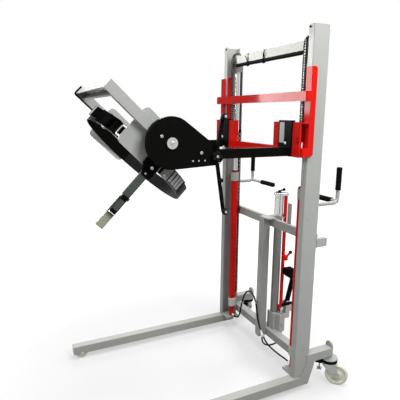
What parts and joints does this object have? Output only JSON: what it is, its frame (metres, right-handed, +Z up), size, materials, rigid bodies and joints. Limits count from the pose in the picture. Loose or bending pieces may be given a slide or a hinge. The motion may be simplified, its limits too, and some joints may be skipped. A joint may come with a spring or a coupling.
{
  "type": "manual lift trolley",
  "caption": "Hand-pumped straddle lift trolley with a chain-lifted carriage and a crank-turned tilting cradle that clamps a steel drum.",
  "frame": {"origin": "on the floor, under the middle of the trolley's overall footprint", "axes": "+Z up, the load side with the straddle legs and cradle faces -Y, +X is the crank side"},
  "size_m": [1.048, 1.368, 1.925],
  "materials": {
    "frame_paint": "semi-gloss light grey paint",
    "red_paint": "gloss red paint",
    "black_paint": "satin black powder coat",
    "steel": "zinc plated",
    "chrome": "polished",
    "chain_steel": "oiled leaf chain",
    "nylon": "cream nylon",
    "black_plastic": "matte",
    "grip_rubber": "ribbed",
    "hose_rubber": "smooth"
  },
  "bodies": {
    "chassis": {"upright_left": "frame_paint", "upright_right": "frame_paint", "leg_left": "frame_paint", "leg_right": "frame_paint", "lower_beam": "frame_paint", "middle_beam": "frame_paint", "centre_post": "frame_paint", "push_handles": "frame_paint", "handle_grips": "grip_rubber", "lift_cylinders": "red_paint", "cylinder_brackets": "frame_paint", "chain_fixed_strands": "chain_steel", "caster_top_plates": "steel", "pump_base": "frame_paint", "pump_tube": "frame_paint", "pump_head": "chrome", "release_rod": "red_paint", "release_cable": "steel", "hose_left": "hose_rubber", "hose_right": "hose_rubber", "hose_pump": "hose_rubber", "hose_fittings": "chrome"},
    "release_lever": {"release_lever": "steel"},
    "foot_pedal": {"foot_pedal": "black_paint"},
    "pump_plunger": {"pump_plunger": "steel"},
    "top_lever": {"top_lever": "black_plastic"},
    "front_roller_left": {"front_roller_left": "nylon"},
    "front_roller_right": {"front_roller_right": "nylon"},
    "caster_left": {"caster_fork_left": "steel"},
    "caster_right": {"caster_fork_right": "steel"},
    "wheel_left": {"caster_wheel_left": "nylon"},
    "wheel_right": {"caster_wheel_right": "nylon"},
    "brake_left": {"caster_brake_left": "steel"},
    "brake_right": {"caster_brake_right": "steel"},
    "yoke": {"yoke_bar": "frame_paint", "lift_rods": "steel", "chain_yoke_strands": "chain_steel"},
    "pulley_left": {"chain_pulley_left": "steel"},
    "pulley_right": {"chain_pulley_right": "steel"},
    "carriage": {"carriage_side_left": "red_paint", "carriage_side_right": "red_paint", "carriage_bars": "red_paint", "bracket_boxes": "red_paint", "guide_shoes": "red_paint", "chain_carriage_strands": "chain_steel", "tilt_arm_left": "black_paint", "tilt_arm_right": "black_paint", "arm_bolts": "steel", "chain_case": "black_paint", "tilt_chain": "chain_steel"},
    "cradle": {"cradle_frame": "frame_paint", "pivot_shafts": "steel", "clamp_band": "frame_paint", "front_strap": "frame_paint", "rim_hook": "frame_paint"},
    "ratchet_lever": {"ratchet_lever": "steel"},
    "rim_latch": {"rim_latch": "steel"},
    "crank": {"crank": "black_paint"},
    "crank_knob_upper": {"crank_knob_upper": "black_plastic"},
    "crank_knob_lower": {"crank_knob_lower": "black_plastic"}
  },
  "joints": [
    {"name": "carriage_lift", "type": "slide", "parent": "chassis", "child": "carriage", "axis": [0, 0, 1], "range_m": [-0.88, 0]},
    {"name": "yoke_lift", "type": "slide", "parent": "chassis", "child": "yoke", "axis": [0, 0, 1], "range_m": [-0.45, 0]},
    {"name": "drum_tilt", "type": "hinge", "parent": "carriage", "child": "cradle", "pos_m": [0, -0.327, 1.382], "axis": [1, 0, 0], "range_deg": [-135.8, 44.2]},
    {"name": "crank_turn", "type": "hinge", "parent": "carriage", "child": "crank", "pos_m": [0.38, -0.12, 1.32], "axis": [1, 0, 0], "range_deg": [-455, 150]},
    {"name": "crank_knob_upper_spin", "type": "hinge", "parent": "crank", "child": "crank_knob_upper", "pos_m": [0.4, -0.091, 1.497], "axis": [1, 0, 0], "continuous": true},
    {"name": "crank_knob_lower_spin", "type": "hinge", "parent": "crank", "child": "crank_knob_lower", "pos_m": [0.4, -0.08, 1.064], "axis": [1, 0, 0], "continuous": true},
    {"name": "ratchet_lever_swing", "type": "hinge", "parent": "cradle", "child": "ratchet_lever", "pos_m": [0.17867, -0.55291, 1.47266], "axis": [0, 0.6972, 0.7169], "range_deg": [0, 100]},
    {"name": "rim_latch_swing", "type": "hinge", "parent": "cradle", "child": "rim_latch", "pos_m": [0.3205, -0.52673, 1.15079], "axis": [0, -0.7169, 0.6972], "range_deg": [0, 60]},
    {"name": "foot_pedal_swing", "type": "hinge", "parent": "chassis", "child": "foot_pedal", "pos_m": [0.08, 0.56, 0.346], "axis": [-1, 0, 0], "range_deg": [0, 60], "stiffness_Nm_per_rad": 6, "springref_deg": -28.65},
    {"name": "pump_stroke", "type": "slide", "parent": "chassis", "child": "pump_plunger", "axis": [0, 0, 1], "range_m": [0, 0.022]},
    {"name": "release_lever_swing", "type": "hinge", "parent": "chassis", "child": "release_lever", "pos_m": [0.048, 0.562, 0.631], "axis": [1, 0, 0], "range_deg": [-20, 15], "stiffness_Nm_per_rad": 4},
    {"name": "top_lever_turn", "type": "hinge", "parent": "chassis", "child": "top_lever", "pos_m": [0.024, 0.51, 1.05], "axis": [0, 0, 1], "range_deg": [-45, 45]},
    {"name": "pulley_left_turn", "type": "hinge", "parent": "yoke", "child": "pulley_left", "pos_m": [-0.352, 0.414, 1.85], "axis": [1, 0, 0], "range_deg": [-5, 800]},
    {"name": "front_roller_left_spin", "type": "hinge", "parent": "chassis", "child": "front_roller_left", "pos_m": [-0.416, -0.63401, 0.037], "axis": [1, 0, 0], "continuous": true},
    {"name": "caster_left_swivel", "type": "hinge", "parent": "chassis", "child": "caster_left", "pos_m": [-0.44, 0.6, 0.13], "axis": [0, 0, 1], "continuous": true},
    {"name": "wheel_left_spin", "type": "hinge", "parent": "caster_left", "child": "wheel_left", "pos_m": [-0.47182, 0.63182, 0.0625], "axis": [-0.7071, -0.7071, 0], "continuous": true},
    {"name": "brake_left_press", "type": "hinge", "parent": "caster_left", "child": "brake_left", "pos_m": [-0.42162, 0.58161, 0.122], "axis": [0.7071, 0.7071, 0], "range_deg": [0, 14]},
    {"name": "pulley_right_turn", "type": "hinge", "parent": "yoke", "child": "pulley_right", "pos_m": [0.352, 0.414, 1.85], "axis": [1, 0, 0], "range_deg": [-5, 800]},
    {"name": "front_roller_right_spin", "type": "hinge", "parent": "chassis", "child": "front_roller_right", "pos_m": [0.416, -0.63401, 0.037], "axis": [1, 0, 0], "continuous": true},
    {"name": "caster_right_swivel", "type": "hinge", "parent": "chassis", "child": "caster_right", "pos_m": [0.44, 0.6, 0.13], "axis": [0, 0, 1], "continuous": true},
    {"name": "wheel_right_spin", "type": "hinge", "parent": "caster_right", "child": "wheel_right", "pos_m": [0.47182, 0.63182, 0.0625], "axis": [-0.7071, 0.7071, 0], "continuous": true},
    {"name": "brake_right_press", "type": "hinge", "parent": "caster_right", "child": "brake_right", "pos_m": [0.42162, 0.58161, 0.122], "axis": [0.7071, -0.7071, 0], "range_deg": [0, 14]}
  ],
  "couplings": [
    {"joint": "yoke_lift", "follows": "carriage_lift", "ratio": 0.5},
    {"joint": "crank_turn", "follows": "drum_tilt", "ratio": 3.3333},
    {"joint": "pump_stroke", "follows": "foot_pedal_swing", "m_per_rad": 0.02},
    {"joint": "pulley_left_turn", "follows": "carriage_lift", "rad_per_m": -15.625},
    {"joint": "pulley_right_turn", "follows": "carriage_lift", "rad_per_m": -15.625}
  ]
}
